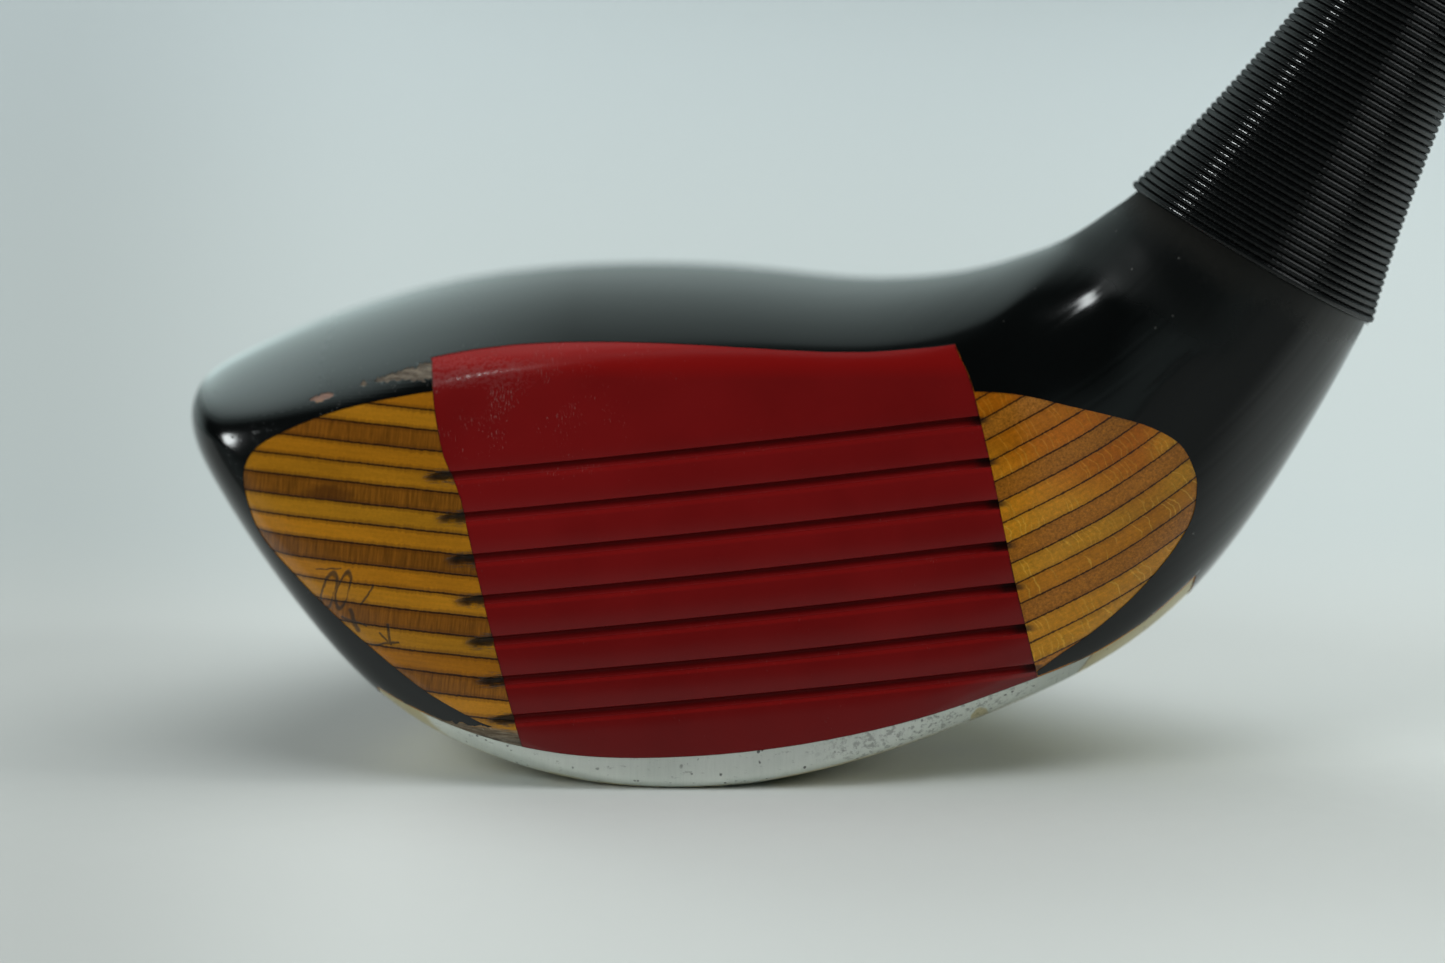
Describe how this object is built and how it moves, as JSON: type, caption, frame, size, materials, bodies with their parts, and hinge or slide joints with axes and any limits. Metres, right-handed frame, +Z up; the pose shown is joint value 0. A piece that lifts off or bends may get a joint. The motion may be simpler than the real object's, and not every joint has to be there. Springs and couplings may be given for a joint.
{
  "type": "fairway wood",
  "caption": "Golf fairway wood with a laminated maple head, red face insert, aluminium sole plate, thread-whipped neck, stepped steel shaft and rubber grip.",
  "frame": {"origin": "on the flat of the sole below the face, where the head rests on the ground, 12 mm behind the leading edge", "axes": "+X from toe to heel and grip side, +Y from the face to the back of the head, +Z up, with the club soled at its lie"},
  "size_m": [0.6236, 0.0683, 0.9411],
  "materials": {
    "maple": "clear lacquered laminated maple",
    "maple_cross_grain": "clear lacquered maple, end-grain ply",
    "black_lacquer": "gloss black lacquer over the wood",
    "red_insert": "worn gloss dark red plastic",
    "sole_aluminium": "worn satin cast aluminium",
    "zinc_steel": "zinc plated",
    "lead": "dull cast lead",
    "shaft_chrome": "polished chrome plate",
    "black_plastic": "gloss black",
    "whipping_thread": "waxed black nylon thread",
    "paper_tape": "matt tan paper tape",
    "grip_rubber": "matt moulded rubber"
  },
  "bodies": {
    "root": {"butt_cap": "black_plastic", "face_insert": "red_insert", "grip": "grip_rubber", "grip_tape": "paper_tape", "lead_slug": "lead", "neck_ferrule": "black_plastic", "neck_pin": "zinc_steel", "neck_whipping": "whipping_thread", "shaft": "shaft_chrome", "sole_plate": "sole_aluminium", "sole_screw_heel_back": "zinc_steel", "sole_screw_heel_front": "zinc_steel", "sole_screw_heel_tip": "zinc_steel", "sole_screw_toe_back": "zinc_steel", "sole_screw_toe_front": "zinc_steel", "wood_ply_01": "maple", "wood_ply_02": "maple_cross_grain", "wood_ply_03": "maple", "wood_ply_04": "maple", "wood_ply_05": "maple_cross_grain", "wood_ply_06": "maple", "wood_ply_07": "maple", "wood_ply_08": "maple_cross_grain", "wood_ply_09": "maple", "wood_ply_10": "maple", "wood_ply_11": "maple_cross_grain", "wood_ply_12": "maple", "wood_ply_13": "maple", "wood_ply_14": "maple_cross_grain", "wood_ply_15": "maple", "wood_ply_16": "maple", "wood_ply_17": "maple_cross_grain", "wood_ply_18": "maple", "wood_ply_19": "maple", "wood_ply_20": "maple_cross_grain", "wood_ply_21": "maple", "wood_ply_22": "maple"}
  },
  "joints": []
}
